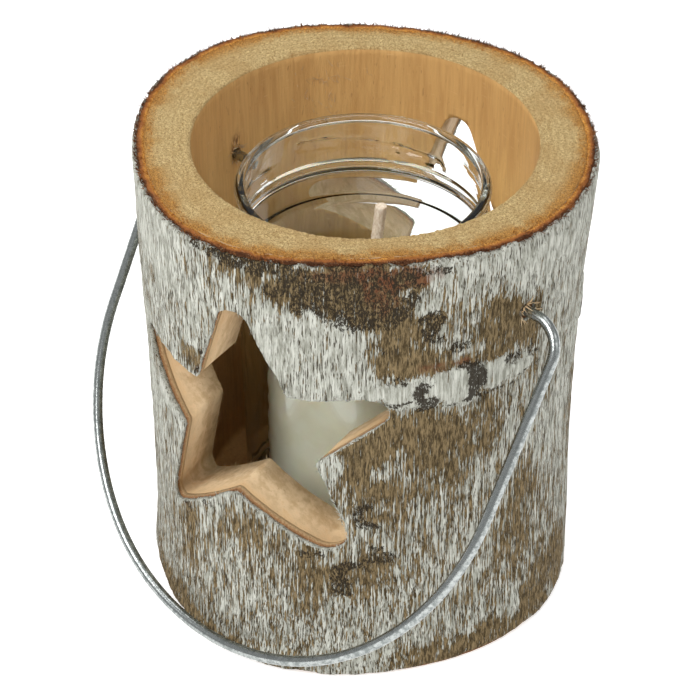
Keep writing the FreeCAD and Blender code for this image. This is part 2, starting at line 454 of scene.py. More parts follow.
def bark_material():
    """Whitewashed birch bark: long upright strokes of thin white over olive brown, with short
    dark fissures, and lichen, rust and bare patches where the masks put them. The dark mask
    also carries painted shade: thin dark lines along the white band's lower edge."""
    s = Shader("whitewashed_bark", Specular_IOR_Level=0.08)
    strokes = s.noise(0.5, (1, 1, 0.05), 3.0, 0.55)
    dashes = s.noise(0.3, (1, 1, 0.14), 2.0, 0.6, (7, 3, 1))
    clouds = s.noise(3.0, (1, 1, 0.2), 3.0, 0.6, (2, 9, 4))
    value = s.plus(s.times(strokes, 0.6), s.times(dashes, 0.32))
    value = s.plus(value, s.times(clouds, 0.13))
    wear = s.attribute("wear")
    edge = s.plus(0.405, s.times(wear, 0.235))
    painted = s.between(s.minus(value, edge), -0.018, 0.02)
    brown_mix = s.between(s.noise(0.8, (1, 1, 0.22), 4.0, 0.75, (5, 5, 5)), 0.36, 0.64)
    brown = s.mix(brown_mix, (0.055, 0.038, 0.017), (0.245, 0.178, 0.092))
    white_mix = s.between(s.noise(1.1, (1, 1, 0.16), 4.0, 0.7, (1, 8, 2)), 0.32, 0.68)
    white = s.mix(white_mix, (0.255, 0.255, 0.21), (0.585, 0.59, 0.525))
    colour = s.mix(painted, brown, white)
    fissures = s.noise(0.32, (1, 1, 0.09), 2.0, 0.5, (11, 2, 6))
    crack = s.between(fissures, 0.585, 0.635)
    crack = s.times(crack, s.minus(0.9, s.times(s.attribute("clean"), 0.75)))
    colour = s.mix(crack, colour, (0.05, 0.038, 0.022))
    blush = s.between(s.noise(3.0, (1, 1, 0.7), 4.0, 0.7, (4, 4, 9)), 0.36, 0.6)
    colour = s.mix(s.times(s.attribute("rust"), blush), colour, (0.16, 0.06, 0.028))
    patchy = s.noise(2.4, (1, 1, 0.8), 5.0, 0.8, (3, 6, 8), 0.6)
    crackle = s.noise(0.5, (1, 1, 0.45), 3.0, 0.7, (8, 1, 3))
    mottle = s.plus(s.times(patchy, 0.45), s.times(crackle, 0.55))
    solid = s.plus(0.8, s.times(s.attribute("clean"), 0.3))
    # the dark mask: lichen, and painted shade along the white band's lower edge
    lichen_and_shade = s.math("MINIMUM", s.attribute("dark"), solid)
    dark = s.between(s.plus(s.times(lichen_and_shade, 0.24), mottle), 0.655, 0.68)
    flecks = s.between(s.noise(0.42, (1, 1, 0.4), 2.0, 0.6, (1, 6, 6)), 0.56, 0.6)
    flecks = s.times(flecks, s.minus(1.0, s.attribute("clean")))
    dark = s.times(dark, s.minus(1.0, flecks))
    # near-black where the dark mask is: lichen colour, and painted shade under the band's lower edge
    colour = s.mix(s.times(dark, 0.95), colour, (0.03, 0.023, 0.015))
    roughness = s.between(painted, 0.0, 1.0, 0.85, 0.7)
    height = s.minus(s.plus(painted, value), s.times(crack, 0.9))
    height = s.minus(height, s.times(dark, 0.3))
    fine = s.bump(s.noise(0.28, (1, 1, 0.4), 3.0, 0.7), 0.14, 0.6)
    return s.finish(colour, roughness, s.bump(height, 0.26, 0.85, fine))


def inner_bark_material():
    """Fibrous bast: orange beside the wood, red-brown and then nearly black under the bark."""
    s = Shader("bast", Specular_IOR_Level=0.2)
    fray = s.noise(0.5, (1, 1, 0.6), 4.0, 0.75)
    broad = s.noise(7.0, (1, 1, 0.5), 3.0, 0.6, (6, 2, 5))
    depth = s.plus(s.attribute("depth"), s.times(s.minus(fray, 0.5), 1.5))
    top = s.between(s.height(), LOG_TOP / MM - 2.0, LOG_TOP / MM - 0.5)
    sawn_top = s.plus(0.02, s.times(s.minus(broad, 0.42), 1.6))
    depth = s.plus(depth, s.times(top, sawn_top))
    sawn_young = s.mix(s.between(fray, 0.42, 0.6), (0.36, 0.13, 0.025), (0.85, 0.43, 0.09))
    young = s.mix(top, (0.60, 0.42, 0.23), sawn_young)
    older = s.mix(top, (0.36, 0.19, 0.085), (0.33, 0.115, 0.03))
    oldest = s.mix(top, (0.20, 0.095, 0.045), (0.10, 0.036, 0.014))
    colour = s.mix(s.between(depth, 0.35, 0.75), young, older)
    colour = s.mix(s.between(depth, 0.8, 1.1), colour, oldest)
    specks = s.between(s.noise(0.35, detail=3.0, shift=(3, 1, 2)), 0.6, 0.68)
    colour = s.mix(s.times(specks, 0.7), colour, (0.48, 0.31, 0.16))
    return s.finish(colour, 0.85, s.bump(s.noise(0.4, (1, 1, 0.5), 4.0, 0.75), 0.4, 1.0))


def end_grain_material():
    """Sawn end grain: fuzzy golden wood, going orange towards the bark, with faint rings."""
    s = Shader("end_grain", Specular_IOR_Level=0.2)
    fuzz = s.noise(0.36, detail=3.0, roughness=0.8)
    grains = s.noise(0.7, detail=4.0, roughness=0.8, shift=(6, 2, 4))
    pile = s.plus(s.times(fuzz, 0.6), s.times(grains, 0.4))
    light = s.between(pile, 0.38, 0.6)
    colour = s.mix(light, (0.45, 0.245, 0.08), (1.0, 0.80, 0.40))
    tint = s.between(s.noise(8.0, detail=4.0, shift=(1, 1, 1)), 0.38, 0.62)
    colour = s.mix(s.times(tint, 0.34), colour, (0.58, 0.33, 0.115))
    years = s.times(s.attribute("outward"), 38.0)
    rings = s.math("SINE", s.plus(years, s.times(tint, 2.5)))
    colour = s.mix(s.between(rings, -0.2, 1.0, 0.0, 0.16), colour, (0.4, 0.21, 0.07))
    edge = s.plus(s.attribute("outward"), s.times(s.minus(tint, 0.5), 0.16))
    edge = s.plus(edge, s.times(s.minus(grains, 0.5), 0.45))
    orange = s.mix(light, (0.30, 0.10, 0.02), (0.82, 0.42, 0.09))
    colour = s.mix(s.between(edge, 0.6, 1.0, 0.0, 0.85), colour, orange)
    colour = s.mix(s.between(edge, 1.0, 1.2, 0.0, 0.7), colour, (0.16, 0.055, 0.015))
    height = s.plus(fuzz, grains)
    return s.finish(colour, 0.9, s.bump(height, 0.8, 1.0))


def bore_material():
    """Bored wood: smooth pinkish tan with upright fibres and fine scratches."""
    s = Shader("bored_wood", Specular_IOR_Level=0.3)
    fibres = s.noise(0.9, (1, 1, 0.06), 3.0, 0.6)
    broad = s.noise(7.0, (1, 1, 0.12), 3.0, 0.6, (2, 5, 3))
    streaks = s.plus(s.times(fibres, 0.5), s.times(broad, 0.5))
    share = s.between(streaks, 0.36, 0.64)
    colour = s.mix(share, (0.565, 0.315, 0.11), (0.68, 0.405, 0.15))
    scratches = s.between(s.noise(1.6, (0.35, 0.35, 2.6), 2.0, 0.6, (9, 1, 1)), 0.66, 0.72)
    colour = s.mix(s.times(scratches, 0.3), colour, (0.8, 0.55, 0.27))
    fleck = s.between(s.noise(0.6, (1, 1, 0.16), 2.0, 0.6, (9, 1, 1)), 0.66, 0.72)
    colour = s.mix(s.times(fleck, 0.45), colour, (0.27, 0.125, 0.045))
    torn = s.between(s.noise(0.9, (1, 1, 0.3), 3.0, 0.7, (2, 2, 2)), 0.4, 0.56)
    colour = s.mix(s.times(s.attribute("stain"), torn), colour, (0.17, 0.07, 0.025))
    normal = s.bump(s.plus(fibres, s.noise(0.5, (1, 1, 0.25), 2.0)), 0.16, 0.7)
    return s.finish(colour, 0.62, normal)


def sawn_material():
    """The star's sawn faces: pale smooth wood with brown flecks, going orange under the bark."""
    s = Shader("sawn_wood", Specular_IOR_Level=0.3)
    broad = s.noise(3.0, (1, 1, 0.4), 4.0, 0.65, (2, 2, 6))
    colour = s.mix(s.between(broad, 0.35, 0.65), (0.54, 0.38, 0.21), (0.74, 0.57, 0.36))
    fleck = s.between(s.noise(0.8, (1, 1, 0.5), 3.0, 0.7, (4, 7, 1)), 0.62, 0.7)
    colour = s.mix(s.times(fleck, 0.5), colour, (0.33, 0.15, 0.055))
    near_bark = s.plus(s.attribute("outward"), s.times(s.minus(broad, 0.5), 1.6))
    colour = s.mix(s.between(near_bark, 0.6, 1.2, 0.0, 0.6), colour, (0.5, 0.28, 0.1))
    normal = s.bump(s.noise(0.6, (1, 1, 0.5), 3.0, 0.65), 0.18, 0.6)
    return s.finish(colour, 0.7, normal)


def wire_material():
    """Galvanised wire: grey zinc with bright and dull patches and small dark pits."""
    s = Shader("galvanised", Metallic=1.0, Specular_IOR_Level=0.5)
    patches = s.between(s.noise(1.3, detail=4.0, roughness=0.65), 0.35, 0.65)
    colour = s.mix(patches, (0.22, 0.24, 0.235), (0.45, 0.475, 0.465))
    pits = s.between(s.noise(0.55, detail=3.0, roughness=0.7, shift=(3, 3, 7)), 0.63, 0.7)
    colour = s.mix(s.times(pits, 0.7), colour, (0.16, 0.165, 0.165))
    roughness = s.between(patches, 0.0, 1.0, 0.32, 0.18)
    normal = s.bump(s.noise(0.7, detail=3.0, roughness=0.6), 0.05, 0.5)
    return s.finish(colour, roughness, normal)


def glass_material():
    """Clear pressed glass with a slight green tint; light passes it on its way to the candle."""
    s = Shader("jar_glass", Roughness=0.01, IOR=1.5, Base_Color=(0.97, 0.985, 0.975, 1.0))
    s.surface.inputs["Transmission Weight"].default_value = 1.0
    s.finish(normal=s.bump(s.noise(9.0, detail=1.0), 0.25, 0.35))
    nodes, links = s.tree.nodes, s.tree.links
    depth = nodes.new("ShaderNodeVolumeAbsorption")
    depth.inputs["Color"].default_value = (0.50, 0.56, 0.50, 1.0)
    depth.inputs["Density"].default_value = 105.0
    links.new(depth.outputs[0], nodes["Material Output"].inputs["Volume"])
    path = nodes.new("ShaderNodeLightPath")
    clear = nodes.new("ShaderNodeBsdfTransparent")
    clear.inputs["Color"].default_value = (0.9, 0.93, 0.915, 1.0)
    blend = nodes.new("ShaderNodeMixShader")
    links.new(path.outputs["Is Shadow Ray"], blend.inputs[0])
    links.new(s.surface.outputs[0], blend.inputs[1])
    links.new(clear.outputs[0], blend.inputs[2])
    links.new(blend.outputs[0], nodes["Material Output"].inputs["Surface"])
    return s.material


def wax_material():
    """Ivory candle wax: satin, faintly mottled, with light sinking into it."""
    s = Shader("ivory_wax", Subsurface_Weight=0.35, Subsurface_Scale=3 * MM)
    s.surface.inputs["Subsurface Radius"].default_value = (1.0, 0.7, 0.4)
    share = s.between(s.noise(7.0, detail=4.0, roughness=0.6), 0.35, 0.65)
    colour = s.mix(share, (0.94, 0.87, 0.70), (0.98, 0.92, 0.77))
    roughness = s.between(s.noise(1.5, detail=3.0), 0.35, 0.65, 0.42, 0.58)
    return s.finish(colour, roughness, s.bump(s.noise(2.5, detail=4.0, roughness=0.6), 0.15, 0.5))


def wick_material():
    """Waxed cotton braid."""
    s = Shader("waxed_wick", Specular_IOR_Level=0.35)
    share = s.between(s.noise(0.5, (1, 1, 0.4), 3.0, 0.65), 0.35, 0.65)
    colour = s.mix(share, (0.63, 0.5, 0.36), (0.83, 0.74, 0.61))
    return s.finish(colour, 0.6, s.bump(s.noise(0.35, detail=3.0), 0.1, 0.7))


def tin_material():
    """Bright tinplate, brushed and slightly stained."""
    s = Shader("tinplate", Metallic=1.0)
    share = s.between(s.noise(1.2, (0.2, 1, 1), 3.0), 0.35, 0.65)
    colour = s.mix(share, (0.45, 0.44, 0.42), (0.68, 0.67, 0.64))
    return s.finish(colour, s.between(share, 0.0, 1.0, 0.4, 0.25), s.bump(share, 0.02, 0.5))


def floor_material():
    """Pale studio floor that glows a little, so that it joins the white surroundings."""
    s = Shader("pale_floor", Specular_IOR_Level=0.1)
    grain = s.between(s.noise(40.0, detail=3.0), 0.3, 0.7)
    s.surface.inputs["Emission Color"].default_value = (1, 1, 1, 1)
    s.surface.inputs["Emission Strength"].default_value = FLOOR_GLOW
    return s.finish(s.mix(grain, (0.86, 0.86, 0.86), (0.89, 0.89, 0.89)), 0.9)


# ------------ bark

# Marks on the bark: kind, angle and height of the middle, half width in degrees, half height
# in millimetres, and strength. Strengths add up; a negative one takes away.
BARK_MARKS = (
    # the dark lichen under the front of the top edge, and its rusty heart
    ("dark", -73, 138, 8, 3, 0.8),
    ("dark", -62, 136, 9, 5, 0.85),
    ("dark", -53, 131, 8, 9, 0.95),
    ("dark", -44, 130, 9, 9, 0.9),
    ("dark", -50, 122, 6, 2.5, 1.0),
    ("dark", -59, 127, 5, 2.5, 0.7),
    ("dark", -66, 131, 5, 2, 0.8),
    ("dark", -80, 138.5, 8, 1.4, 0.9),
    ("dark", -36, 128, 5, 6, 0.9),
    ("dark", -33, 137, 8, 2, 0.8),
    ("dark", -30, 120, 3.5, 5, 0.9),
    ("dark", -27, 115, 3, 3, 0.8),
    ("dark", -22, 111, 3.5, 2, 1.0),
    ("wear", -56, 134, 20, 8, 0.7),
    ("wear", -42, 130, 10, 10, 0.6),
    ("rust", -41, 131, 4.5, 5, 1.0),
    ("rust", -37, 136, 9, 3, 0.8),
    ("rust", -52, 137, 9, 2, 0.7),
    # bare olive patches either side of the smooth white band
    ("wear", -39, 110, 6, 7, 0.75),
    ("wear", -31, 108, 8, 4, 0.8),
    ("wear", -34, 119, 7, 5, 0.45),
    ("dark", -42, 112.5, 1.8, 1, 1.0),
    ("dark", -38, 103, 4, 1.6, 0.7),
    ("rust", -26, 106, 7, 1.6, 0.75),
    ("wear", -26, 106, 8, 2, 0.5),
    ("wear", -8, 113, 8, 9, 0.8),
    ("wear", -14, 106, 4, 3, 0.5),
    ("wear", -36, 86, 14, 6, 0.95),
    ("wear", -46, 80, 6, 10, 0.7),
    ("wear", -27, 76, 9, 10, 0.45),
    ("wear", -44, 66, 9, 9, 0.45),
    ("wear", -14, 82, 5, 12, 0.4),
    # the band, its brown blotches, and painted shade under its raised lower edge
    ("clean", -41, 99, 9, 2.6, 1.0),
    ("clean", -33, 98, 7, 4.5, 1.0),
    ("clean", -24, 98, 7, 6, 1.1),
    ("clean", -13, 99, 6, 5, 1.0),
    ("clean", -4, 98, 5, 3, 0.9),
    ("dark", -31, 99, 2.6, 3.5, 1.0),
    ("dark", -29.5, 95, 2.6, 2.2, 0.9),
    ("dark", -17, 99, 2.4, 5.5, 1.15),
    ("dark", -5, 102, 4, 2.2, 1.0),
    ("dark", 0, 100, 3, 1.2, 0.8),
    # painted shade: the next four thin dark lines run under the band's raised lower edge
    ("dark", -40, 95, 8, 0.8, 0.9),
    ("dark", -29, 92.5, 8, 0.8, 1.0),
    ("dark", -14, 93.5, 8, 0.8, 0.9),
    ("dark", -2, 96, 5, 0.8, 0.8),
    ("dark", -20, 105, 6, 0.8, 0.9),
    # knots and scars lower down
    ("dark", -45, 60.5, 4, 1.4, 1.1),
    ("dark", -47.5, 57, 1.5, 3.6, 1.1),
    ("dark", -45, 53.5, 3.4, 1.2, 1.0),
    ("dark", -50, 40, 4.5, 2.6, 1.1),
    ("dark", -42, 42.5, 4.5, 2, 1.1),
    ("dark", -43, 45.5, 3, 1, 1.0),
    ("dark", -52, 33, 3, 3.4, 1.0),
    ("wear", -47, 38, 9, 7, 0.45),
    ("dark", -58, 43.5, 5, 1.2, 0.9),
    ("dark", -99, 43.5, 5, 1.6, 1.0),
    ("dark", -90, 50, 4, 1.2, 0.7),
    ("rust", -100, 44, 5, 2, 0.8),
    # the torn corner of the star
    ("dark", -87.5, 97.5, 5.5, 2.8, 1.3),
    ("rust", -87, 98, 6, 2.6, 1.0),
    ("wear", -90, 99, 7, 3.5, 0.6),
    ("dark", -86, 103, 2.5, 1.6, 0.9),
    # weathering of the foot
    ("wear", -12, 4, 26, 6, 0.7),
    ("wear", 12, 14, 12, 12, 0.5),
    ("wear", -2, 44, 9, 22, 0.3),
    ("wear", -97, 36, 4, 12, 0.35),
    ("wear", -60, 34, 5, 10, 0.3),
    ("wear", -76, 46, 8, 5, 0.35),
    ("wear", -112, 5, 14, 5, 0.5),
    ("wear", -84, 3, 16, 2.5, 0.4),
    ("clean", -108, 128, 18, 12, 0.4),
    ("clean", -69, 112, 6, 10, 0.3),
    ("clean", 4, 131, 9, 6, 0.5),
    ("clean", -104, 80, 6, 6, 0.6),
    # the sides and the back, in the same manner
    ("dark", 52, 128, 9, 6, 0.8),
    ("wear", 52, 127, 14, 9, 0.7),
    ("rust", 58, 131, 6, 4, 0.8),
    ("dark", 88, 40, 5, 3, 0.9),
    ("dark", 96, 34, 3, 4, 0.9),
    ("wear", 90, 38, 11, 9, 0.5),
    ("clean", 130, 99, 24, 4.5, 1.0),
    ("dark", 121, 99, 2.6, 4, 1.0),
    ("dark", 140, 98, 2.2, 4.5, 1.0),
    ("wear", 128, 88, 18, 6, 0.8),
    ("wear", 150, 60, 12, 14, 0.5),
    ("dark", 160, 64, 3, 5, 0.9),
    ("dark", -165, 124, 12, 5, 0.8),
    ("wear", -163, 122, 16, 8, 0.7),
    ("clean", -160, 84, 16, 4, 0.9),
    ("wear", -150, 30, 16, 14, 0.45),
    ("dark", -155, 52, 4, 2.5, 0.9),
    ("wear", 30, 66, 10, 16, 0.4),
    ("clean", 34, 96, 12, 4, 0.8),
    ("dark", 30, 95, 2.2, 3.5, 0.9),
)


def bark_masks(angle, z):
    """How worn, dark, rusty and cleanly painted the bark is at each point."""
    masks = {kind: np.zeros_like(z) for kind in ("wear", "dark", "rust", "clean")}
    turn = angle / (2 * math.pi)
    wobble = layered_noise(turn, z / LOG_TOP, 110, 30, 51, 3) - 0.5
    lift = layered_noise(turn, z / LOG_TOP, 60, 30, 52, 3) - 0.5
    for kind, middle, height, half_width, half_height, strength in BARK_MARKS:
        aside = (np.degrees(angle) - middle + 180) % 360 - 180
        away = np.hypot(aside / half_width, (z / MM - height) / half_height)
        away = away + wobble * 1.3 + lift * 0.8
        near, far = (0.45, 1.45) if kind == "wear" else (0.7, 1.25)
        masks[kind] += strength * (1 - ramp(away, near, far))
    lower = 1 - ramp(z / MM, 82, 104)
    broad = layered_noise(turn, z / LOG_TOP, 14, 4, 53, 3) - 0.5
    masks["wear"] += 0.26 + 0.1 * lower + 0.6 * broad - 0.9 * masks["clean"]
    return {kind: np.clip(mask, 0, 1) for kind, mask in masks.items()}


def bark_relief(angle, z, masks):
    """How far the bark stands off its smooth surface: upright fibres, low swells and flakes."""
    turn = angle / (2 * math.pi)
    up = z / LOG_TOP
    fibres = layered_noise(turn, up, 430, 22, 61, 2) - 0.5
    ridges = layered_noise(turn, up, 110, 12, 62, 2) - 0.5
    swells = layered_noise(turn, up, 20, 7, 63, 2) - 0.5
    crust = layered_noise(turn, up, 300, 90, 64, 2) - 0.5
    relief = 0.28 * fibres + 0.32 * ridges + 0.7 * swells
    relief = relief + masks["dark"] * (0.8 * crust - 0.1)
    relief = relief + 0.45 * ramp(masks["clean"], 0.3, 0.6) - 0.2 * masks["wear"]
    return relief * MM


def depth_in_wall(thing, name, outer_skin, inner_skin):
    """Marks every point with how far out it lies: 0 at the inner skin, 1 at the outer one. The
    skins are depths under the bark's surface."""
    points = np.array([v.co for v in thing.data.vertices])
    surface = log_radius(np.arctan2(points[:, 1], points[:, 0]), np.clip(points[:, 2], 0, LOG_TOP))
    depth = surface - np.hypot(points[:, 0], points[:, 1])
    mark(thing, name, np.clip((inner_skin - depth) / (inner_skin - outer_skin), 0, 1))


def build_outer_bark():
    chips = layered_noise(TURN, TURN * 0, 160, 1, 41, 3)
    head = LOG_TOP - (0.1 + 1.6 * chips**2) * MM
    worn = layered_noise(TURN, TURN * 0, 60, 1, 42, 3)
    foot = BARK_FOOT + (0.1 + 1.8 * worn**2) * MM
    sections, masks_of = [], []
    for j in range(BARK_ROWS):
        share = j / (BARK_ROWS - 1)
        z = foot + (head - foot) * share
        masks = bark_masks(ANGLES, z)
        near_edge = np.minimum(z - foot, head - z)
        rounding = 0.4 * MM * (1 - ramp(near_edge, 0, 1.4 * MM))
        sections.append(ring(log_radius(ANGLES, z) + bark_relief(ANGLES, z, masks) - rounding, z))
        masks_of.append(masks)
    inner_rows = 9
    for j in range(inner_rows):
        share = 1 - j / (inner_rows - 1)
        z = foot + (head - foot) * share
        sections.append(ring(log_radius(ANGLES, z) - OUTER_BARK, z))
        masks_of.append(bark_masks(ANGLES, z))
    bark = loft("outer_bark_skin", sections, materials=[bark_material()], closed=True)
    for kind in ("wear", "dark", "rust", "clean"):
        mark(bark, kind, np.concatenate([masks[kind] for masks in masks_of]))
    cut(bark, star_cutter(1.3 * MM, 0.45 * MM, 43))
    cut(bark, round_drill(2.5 * MM, 2.0 * MM, 44))
    return bark


def build_inner_bark():
    ragged = layered_noise(TURN, TURN * 0, 200, 1, 45, 3)
    head = LOG_TOP + (0.3 - 0.7 * ragged) * MM
    rows = 24
    sections = []
    for j in range(rows):
        z = BARK_FOOT + (head - BARK_FOOT) * j / (rows - 1)
        fray = layered_noise(TURN, z / LOG_TOP, 240, 90, 46, 2) - 0.5
        sections.append(ring(log_radius(ANGLES, z) - OUTER_BARK + 0.2 * MM * fray, z))
    for j in range(rows):
        z = BARK_FOOT + (head - BARK_FOOT) * (1 - j / (rows - 1))
        sections.append(ring(log_radius(ANGLES, z) - OUTER_BARK - INNER_BARK, z))
    bast = loft("inner_bark_layer", sections, materials=[inner_bark_material()], closed=True)
    cut(bast, star_cutter(0.25 * MM, 0.8 * MM, 47))
    cut(bast, round_drill(2.2 * MM, 1.2 * MM, 48))
    depth_in_wall(bast, "depth", OUTER_BARK, OUTER_BARK + INNER_BARK)
    return bast


# ------------ wood

END_GRAIN, BORED, SAWN = 0, 1, 2


def build_wood():
    materials = [end_grain_material(), bore_material(), sawn_material()]
    wood_edge = OUTER_BARK + INNER_BARK
    centre = (BORE_X, BORE_Y)
    random = np.random.default_rng(71)
    sections, regions = [], []

    def add(section, region):
        sections.append(section)
        regions.append(region)

    for share in (0.3, 0.7, 0.985):
        add(ring((log_radius(ANGLES, 0.0) - wood_edge) * share, 0.0), SAWN)
    for j in range(SIDE_ROWS):
        z = 0.8 * MM + (LOG_TOP - 1.0 * MM) * j / (SIDE_ROWS - 1)
        add(ring(log_radius(ANGLES, z) - wood_edge, z), SAWN)
    outer = ring(log_radius(ANGLES, LOG_TOP) - wood_edge, LOG_TOP)
    inner = ring(BORE_RADIUS + 0.25 * MM, LOG_TOP, centre)
    for j in range(TOP_RINGS):
        share = j / (TOP_RINGS - 1)
        section = outer * (1 - share) + inner * share
        radius = np.hypot(section[:, 0], section[:, 1])
        fuzz = layered_noise(TURN, radius / (60 * MM), 330, 60, 72, 2) - 0.5
        saw = layered_noise(TURN, radius / (60 * MM), 26, 5, 73, 2) - 0.5
        grit = random.random(COLUMNS) - 0.5
        section[:, 2] += (0.5 * fuzz + 0.35 * saw + 0.3 * grit) * MM
        section[:, 2] -= 0.35 * MM * (1 - ramp(1 - share, 0, 0.06))
        add(section, END_GRAIN)
    for j in range(BORE_ROWS):
        share = j / (BORE_ROWS - 1)
        z = LOG_TOP - 0.7 * MM - (LOG_TOP - BORE_FLOOR - 1.2 * MM) * share
        fibres = layered_noise(TURN, np.full(COLUMNS, share), 300, 7, 74, 2) - 0.5
        waves = layered_noise(TURN, np.full(COLUMNS, share), 14, 5, 75, 2) - 0.5
        add(ring(BORE_RADIUS + (0.16 * fibres + 0.3 * waves) * MM, z, centre), BORED)
    for share in (0.985, 0.6, 0.25):
        add(ring(BORE_RADIUS * share, BORE_FLOOR, centre), BORED)
    wood = loft("wood_log", sections, regions, materials)
    cut(wood, star_cutter(0.12 * MM, 0.7 * MM, 76, SAWN, materials))
    cut(wood, round_drill(1.6 * MM, 0.3 * MM, 77))
    depth_in_wall(wood, "outward", wood_edge, LOG_RADIUS - BORE_RADIUS)
    torn_at = (BORE_X - BORE_RADIUS, PIVOT[1], PIVOT[2] + 2 * MM)
    points = np.array([v.co for v in wood.data.vertices]) - torn_at
    away = np.hypot(points[:, 1] / (3 * MM), points[:, 2] / (6 * MM)) + np.abs(points[:, 0]) / (9 * MM)
    mark(wood, "stain", 1 - ramp(away, 0.4, 1.0))
    return wood


def build_rim_fibres(material):
    """Torn fibres that stand up round the edge of the sawn top."""
    random = np.random.default_rng(81)
    count = RIM_FIBRES
    angle = random.random(count) * 2 * math.pi
    depth = random.random(count) ** 1.4 * (INNER_BARK + 3.0 * MM) + 0.5 * OUTER_BARK
    radius = log_radius(angle, LOG_TOP) - depth
    foot = np.full(count, LOG_TOP - 0.45 * MM)
    roots = np.column_stack([radius * np.cos(angle), radius * np.sin(angle), foot])
    lean = random.normal(0, 0.5, (count, 3))
    outward = np.column_stack([np.cos(angle), np.sin(angle), np.zeros(count)])
    directions = outward * 0.7 + lean + np.array([0, 0, 0.9])
    lengths = (0.5 + 1.5 * random.random(count) ** 2) * MM
    widths = (0.08 + 0.12 * random.random(count)) * MM
    fibres = needles("rim_fibres", roots, directions, lengths, widths, material)
    depth_in_wall(fibres, "depth", OUTER_BARK, OUTER_BARK + INNER_BARK)
    return fibres


def build_splinters(material):
    """Torn wood round the outer end of one wire hole and the inner end of the other, the hairs
    that the saw left along the inside of the star, and shavings still clinging to the bore."""
    random = np.random.default_rng(82)
    roots, directions, lengths, widths = [], [], [], []

    def add(root, direction, length, width):
        roots.append(root)
        directions.append(direction)
        lengths.append(length * MM)
        widths.append(width * MM)

    right = np.array([log_radius(0.0, PIVOT[2]) - 0.4 * MM, PIVOT[1], PIVOT[2]])
    left = np.array([BORE_X - BORE_RADIUS - 0.1 * MM, PIVOT[1], PIVOT[2]])
    for middle, spread in ((right, 2.7), (left, 2.2)):
        for k in range(26):
            turn = random.uniform(0.1, 0.95) * math.pi if k % 4 else random.uniform(1, 2) * math.pi
            out = np.array([0, math.cos(turn), math.sin(turn)])
            lean = out * random.uniform(0.2, 1.1) + np.array([random.uniform(0.25, 0.8), 0, 0])
            lean = lean + random.normal(0, 0.25, 3)
            add(middle + out * spread * MM, lean, random.uniform(0.9, 3.2), random.uniform(0.12, 0.32))
    edge = even_outline(STAR, 1.6 * MM)
    middle = edge.mean(0)
    bore = np.array([BORE_X, BORE_Y, 0])
    for u, z in edge:
        deep = bore @ ALONG - math.sqrt(BORE_RADIUS**2 - (u - bore @ ACROSS) ** 2)
        root = ACROSS * u + ALONG * (deep - 0.2 * MM) + np.array([0, 0, z])
        aim = ACROSS * (middle[0] - u) + np.array([0, 0, middle[1] - z])
        aim = aim / np.linalg.norm(aim) + random.normal(0, 0.5, 3) + ALONG * 0.2
        add(root, aim, random.uniform(0.3, 1.6), random.uniform(0.04, 0.08))
    for _ in range(60):
        turn = math.radians(random.normal(148, 6))
        out = np.array([math.cos(turn), math.sin(turn), 0])
        root = bore + out * BORE_RADIUS + np.array([0, 0, LOG_TOP - random.uniform(5, 28) * MM])
        aim = np.array([-out[1], out[0], 0]) * random.normal(0.3, 0.5) - out * 0.12
        aim = aim + np.array([0, 0, random.normal(0.4, 0.6)])
        add(root, aim, random.uniform(1, 4), random.uniform(0.05, 0.13))
    return needles("torn_splinters", roots, directions, lengths, widths, material)


def build_fray(material):
    """White fibres of bark torn inwards round both ends of the star."""
    random = np.random.default_rng(83)
    edge = even_outline(STAR, 0.55 * MM)
    middle = edge.mean(0)
    roots, directions = [], []
    for side in (-1, 1):
        for u, z in edge:
            deep = math.sqrt(LOG_RADIUS**2 - u * u)
            for _ in range(4):
                foot = ACROSS * u + ALONG * side * deep
                reach = log_radius(math.atan2(foot[1], foot[0]), z)
                deep += reach - math.hypot(foot[0], foot[1])
            depth = random.uniform(0.1, 1.1) * MM
            aim = ACROSS * (middle[0] - u) + np.array([0, 0, middle[1] - z])
            aim /= np.linalg.norm(aim)
            foot = ACROSS * u + ALONG * side * (deep - depth) + np.array([0, 0, z])
            roots.append(foot - aim * 0.7 * MM)
            directions.append(aim + random.normal(0, 0.45, 3) + ALONG * side * 0.1)
    count = len(roots)
    lengths = (0.8 + 1.1 * random.random(count) ** 2) * MM
    widths = (0.08 + 0.14 * random.random(count)) * MM
    return needles("bark_fray", roots, directions, lengths, widths, material)


# ------------ jar

JAR_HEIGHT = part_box("glass_jar")[1].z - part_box("glass_jar")[0].z
SEAM_ANGLE = 119.0


def jar_section():
    """Half section of the jar, as (radius, height) points in millimetres: up the outside from
    the base to the rim, then down the inside to the floor."""
    top = JAR_HEIGHT / MM
    corners = (
        (12, 1.0, 0), (27, 1.0, 2), (30, 0, 1.5), (38.5, 0, 5.5), (38.5, top - 27, 4.5), (34, top - 21, 2.2),
        (34, top - 18.8, 0.5), (36.3, top - 18.8, 1.1), (36.3, top - 16.4, 1.1), (34, top - 16.4, 0.7),
        (34, top - 2.7, 0.5), (35, top - 2.7, 0.9), (35, top, 1.3), (31.8, top, 1.3), (31.8, top - 21, 3.5),
        (35.9, top - 29, 4.5), (35.9, 4.0, 3.5), (10, 4.0, 0),
    )
    points = []
    for i, (r, z, bend) in enumerate(corners):
        here = Vector((r, z))
        if not bend:
            points.append(here)
            continue
        back = (Vector(corners[i - 1][:2]) - here).normalized()
        ahead = (Vector(corners[i + 1][:2]) - here).normalized()
        half = back.angle(ahead) / 2
        reach = bend / math.tan(half)
        middle = here + (back + ahead).normalized() * (bend / math.sin(half))
        start, end = here + back * reach - middle, here + ahead * reach - middle
        for k in range(7):
            share = k / 6
            arm = start.slerp(end, share) if start.angle(end) > 1e-4 else start
            points.append(middle + arm)
    return points


def long_runs_split(points, limit):
    """The same line with no run longer than limit."""
    result = [points[0]]
    for a, b in zip(points, points[1:]):
        pieces = max(1, math.ceil((b - a).length / limit))
        result += [a.lerp(b, k / pieces) for k in range(1, pieces + 1)]
    return result


